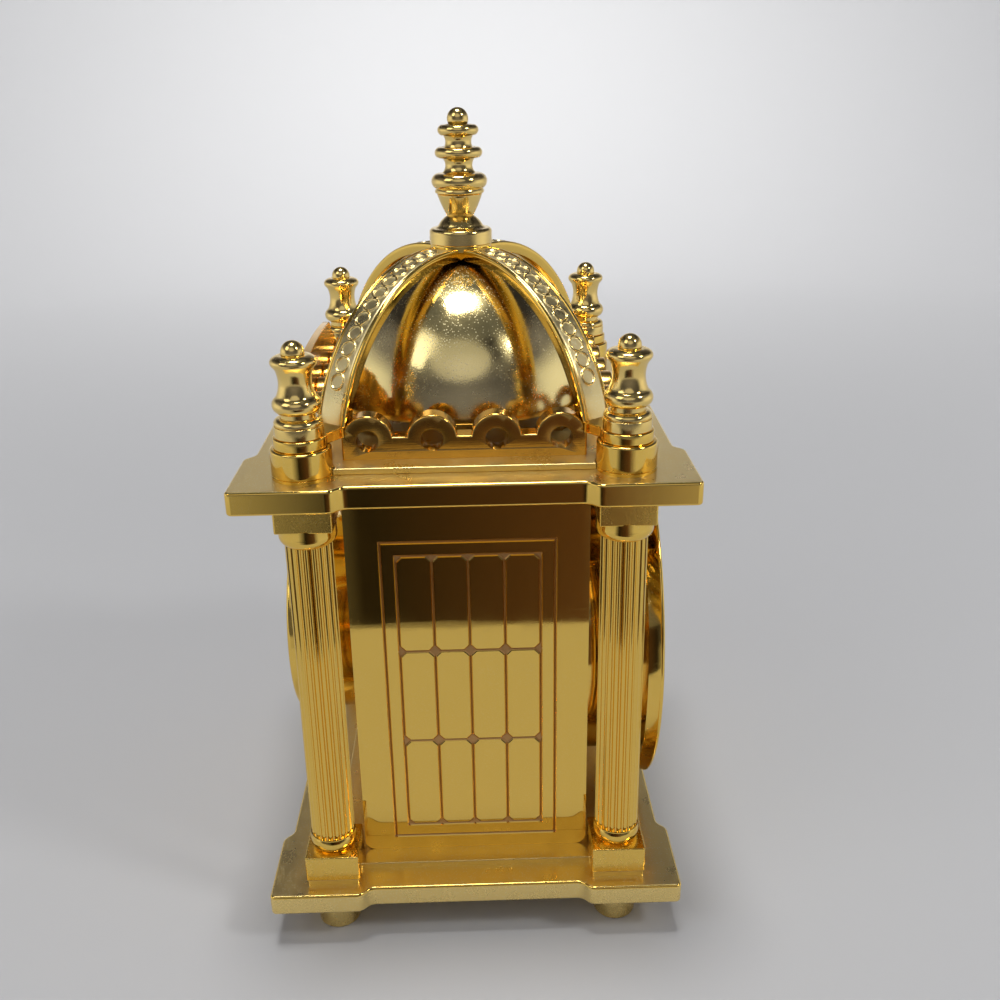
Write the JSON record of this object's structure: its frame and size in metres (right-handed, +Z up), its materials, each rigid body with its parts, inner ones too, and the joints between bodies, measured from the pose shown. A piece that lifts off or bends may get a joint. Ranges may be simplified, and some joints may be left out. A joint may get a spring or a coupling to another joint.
{
  "type": "miniature clock",
  "caption": "Gilt miniature lantern clock: fluted columns between lobed plates, domed bell under crossed straps, pierced frets, turned finials, round glazed dial, pull-off rear cap",
  "frame": {"origin": "on the floor under the middle of the clock, at the centre of its bounding box's underside", "axes": "+X to the right of someone facing the dial, -Y out of the dial, +Z up"},
  "size_m": [0.064, 0.057, 0.1095],
  "materials": {
    "gilt_metal": "gold plated, polished with fine satin areas",
    "gilt_bell": "gold plated, mirror polished",
    "steel": "plain drawn steel",
    "brass_works": "stamped brass, lightly brushed",
    "wood_blocks": "plain sawn hardwood",
    "aluminium_cup": "spun aluminium, satin",
    "dial_enamel": null,
    "clear_glass": "clear flat glass",
    "hand_black": "black paint",
    "black_plastic": "moulded, matte",
    "board_green": "plain fibre board",
    "copper_wire": "enamelled copper winding",
    "bare_tin": "tinned, dull",
    "battery_sleeve": "plain printed sleeve without any marks"
  },
  "bodies": {
    "frame": {"base_plate": "gilt_metal", "battery": "battery_sleeve", "bell": "gilt_bell", "bell_cage": "gilt_metal", "bell_nut": "steel", "bell_stud": "steel", "bezel": "gilt_metal", "cage_ring": "gilt_metal", "case_screws": "steel", "cell_contacts": "bare_tin", "cell_holder": "black_plastic", "centre_bush": "brass_works", "centre_finial": "gilt_metal", "circuit_board": "board_green", "coil": "copper_wire", "column_front_left": "gilt_metal", "column_front_right": "gilt_metal", "column_rear_left": "gilt_metal", "column_rear_right": "gilt_metal", "corner_posts": "wood_blocks", "crystal": "bare_tin", "dial_case": "gilt_metal", "dial_plate": "dial_enamel", "dial_ring": "gilt_metal", "drums": "gilt_metal", "feet": "gilt_metal", "finial_front_left": "gilt_metal", "finial_front_right": "gilt_metal", "finial_rear_left": "gilt_metal", "finial_rear_right": "gilt_metal", "front_fret": "gilt_metal", "front_panel": "gilt_metal", "lens": "clear_glass", "main_plate": "brass_works", "movement_case": "aluminium_cup", "plate_pillars": "brass_works", "rear_crest": "gilt_metal", "rear_fret": "gilt_metal", "rear_panel": "gilt_metal", "rear_plate": "brass_works", "side_fret_left": "gilt_metal", "side_fret_right": "gilt_metal", "side_panel_left": "gilt_metal", "side_panel_right": "gilt_metal", "stator": "steel", "tie_rods": "steel", "top_plate": "gilt_metal"},
    "minute": {"minute_hand": "hand_black", "cannon_pinion": "brass_works"},
    "hour": {"hour_hand": "hand_black", "hour_wheel": "brass_works"},
    "motion_wheel": {"minute_wheel": "brass_works"},
    "setting": {"setting_stem": "steel", "setting_knob": "black_plastic"},
    "second": {"second_hand": "hand_black", "second_wheel": "brass_works"},
    "intermediate": {"intermediate_wheel": "brass_works"},
    "rotor": {"rotor": "steel"},
    "cap": {"rear_cap": "gilt_metal"}
  },
  "joints": [
    {"name": "minute_spin", "type": "hinge", "parent": "frame", "child": "minute", "pos_m": [0, -0.02, 0.0367], "axis": [0, -1, 0], "continuous": true},
    {"name": "hour_spin", "type": "hinge", "parent": "frame", "child": "hour", "pos_m": [0, -0.02, 0.0367], "axis": [0, -1, 0], "continuous": true},
    {"name": "motion_wheel_spin", "type": "hinge", "parent": "frame", "child": "motion_wheel", "pos_m": [0, -0.0165, 0.0319], "axis": [0, -1, 0], "continuous": true},
    {"name": "setting_spin", "type": "hinge", "parent": "frame", "child": "setting", "pos_m": [0, 0, 0.0271], "axis": [0, -1, 0], "continuous": true},
    {"name": "second_spin", "type": "hinge", "parent": "frame", "child": "second", "pos_m": [0, -0.02, 0.0367], "axis": [0, -1, 0], "continuous": true},
    {"name": "intermediate_spin", "type": "hinge", "parent": "frame", "child": "intermediate", "pos_m": [0.003, -0.013, 0.0419], "axis": [0, -1, 0], "continuous": true},
    {"name": "rotor_spin", "type": "hinge", "parent": "frame", "child": "rotor", "pos_m": [-0.00136, -0.012, 0.04442], "axis": [0, -1, 0], "continuous": true},
    {"name": "cap_slide", "type": "slide", "parent": "frame", "child": "cap", "axis": [0, 1, 0], "range_m": [0, 0.012]}
  ],
  "couplings": [
    {"joint": "hour_spin", "follows": "minute_spin", "ratio": 0.083333},
    {"joint": "motion_wheel_spin", "follows": "minute_spin", "ratio": -0.33333},
    {"joint": "setting_spin", "follows": "minute_spin", "ratio": 1},
    {"joint": "intermediate_spin", "follows": "second_spin", "ratio": -5},
    {"joint": "rotor_spin", "follows": "second_spin", "ratio": 30}
  ]
}
